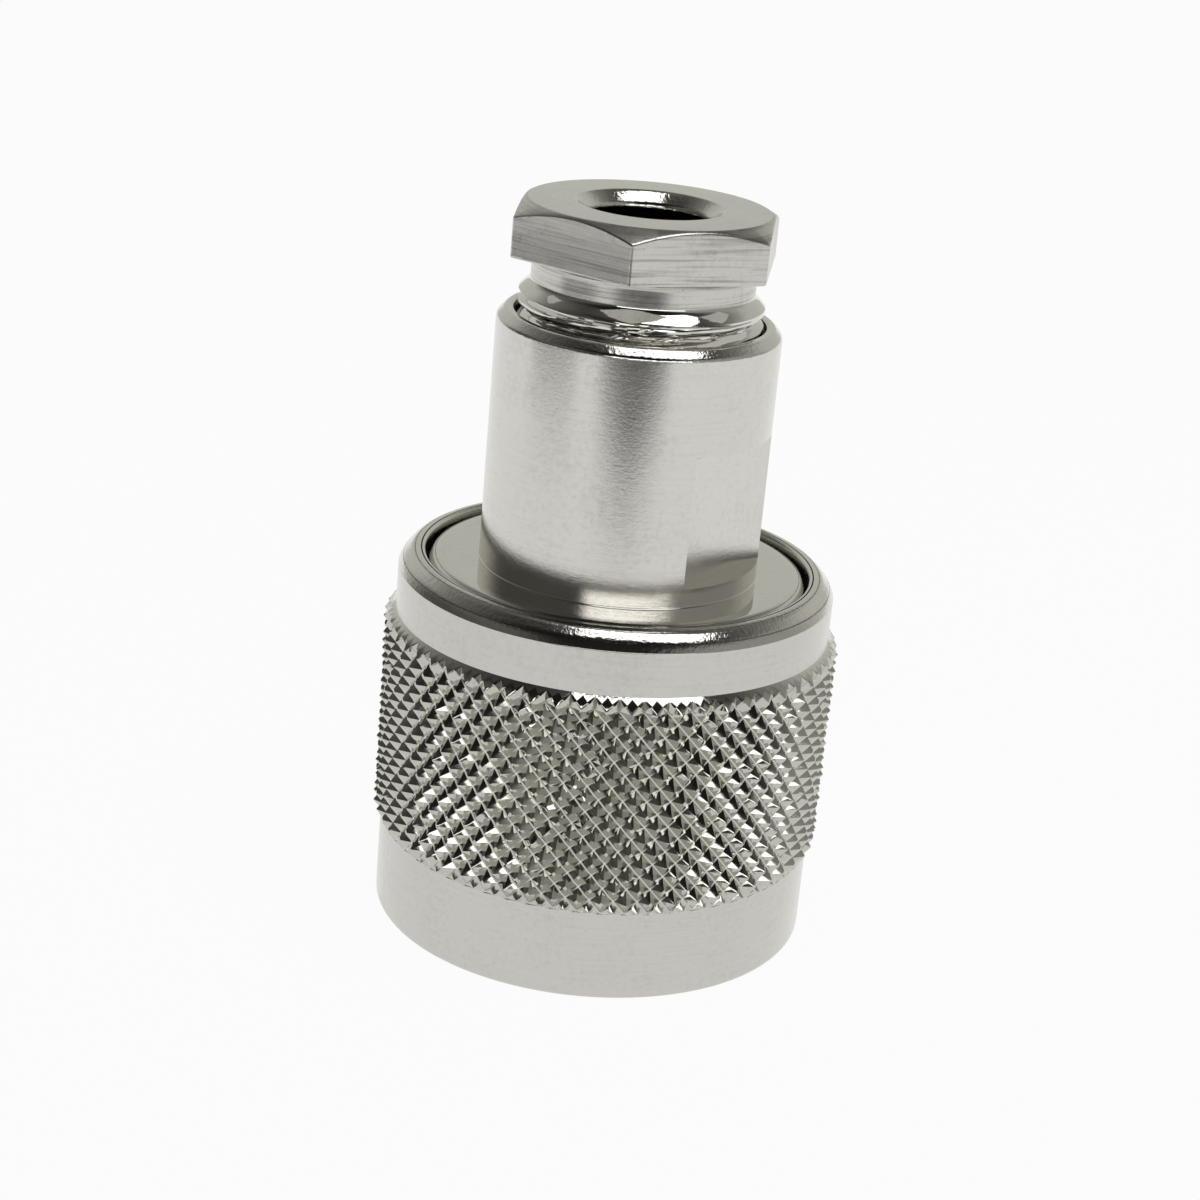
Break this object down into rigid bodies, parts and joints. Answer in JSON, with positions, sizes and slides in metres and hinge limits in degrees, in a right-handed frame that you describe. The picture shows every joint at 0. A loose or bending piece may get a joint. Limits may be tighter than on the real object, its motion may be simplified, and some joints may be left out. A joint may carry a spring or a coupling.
{
  "type": "n type coaxial connector",
  "caption": "Coaxial plug with a knurled coupling nut that turns on a stepped body, a slotted outer contact round a centre pin, and a hexagonal clamp nut for the cable.",
  "frame": {"origin": "centre of the coupling nut's front face, on the axis, which is the plane the plug stands on", "axes": "+Z along the plug's axis, from the mating face to the cable entry; X square to the two wrench flats"},
  "size_m": [0.021, 0.021, 0.0335],
  "materials": {
    "nickel": "satin nickel plate on machined brass",
    "spring_bronze": "bare spring bronze",
    "white_bronze": "bright white bronze plate",
    "gold_plate": "gold plate on brass",
    "ptfe": "smooth white PTFE",
    "silicone": "smooth silicone rubber",
    "black_rubber": "matt black rubber"
  },
  "bodies": {
    "body": {"body": "nickel", "outer_contact": "white_bronze", "front_insulator": "ptfe", "rear_insulator": "ptfe", "centre_contact": "gold_plate", "interface_seal": "silicone", "braid_clamp": "nickel", "clamp_gasket": "black_rubber"},
    "coupling_nut": {"coupling_nut": "nickel", "retaining_ring": "spring_bronze"},
    "slip_washer": {"slip_washer": "nickel"},
    "clamp_nut": {"clamp_nut": "nickel"}
  },
  "joints": [
    {"name": "coupling_nut_spin", "type": "hinge", "parent": "body", "child": "coupling_nut", "pos_m": [0, 0, 0.0145], "axis": [0, 0, 1], "continuous": true},
    {"name": "washer_slide", "type": "slide", "parent": "body", "child": "slip_washer", "axis": [0, 0, 1], "range_m": [-0.00211, 0.00151], "deforming": ["clamp_gasket"]},
    {"name": "clamp_nut_turn", "type": "hinge", "parent": "slip_washer", "child": "clamp_nut", "pos_m": [0, 0, 0.0312], "axis": [0, 0, 1], "range_deg": [-1008, 720]}
  ],
  "couplings": [
    {"joint": "washer_slide", "follows": "clamp_nut_turn", "m_per_rad": 0.00011937}
  ]
}
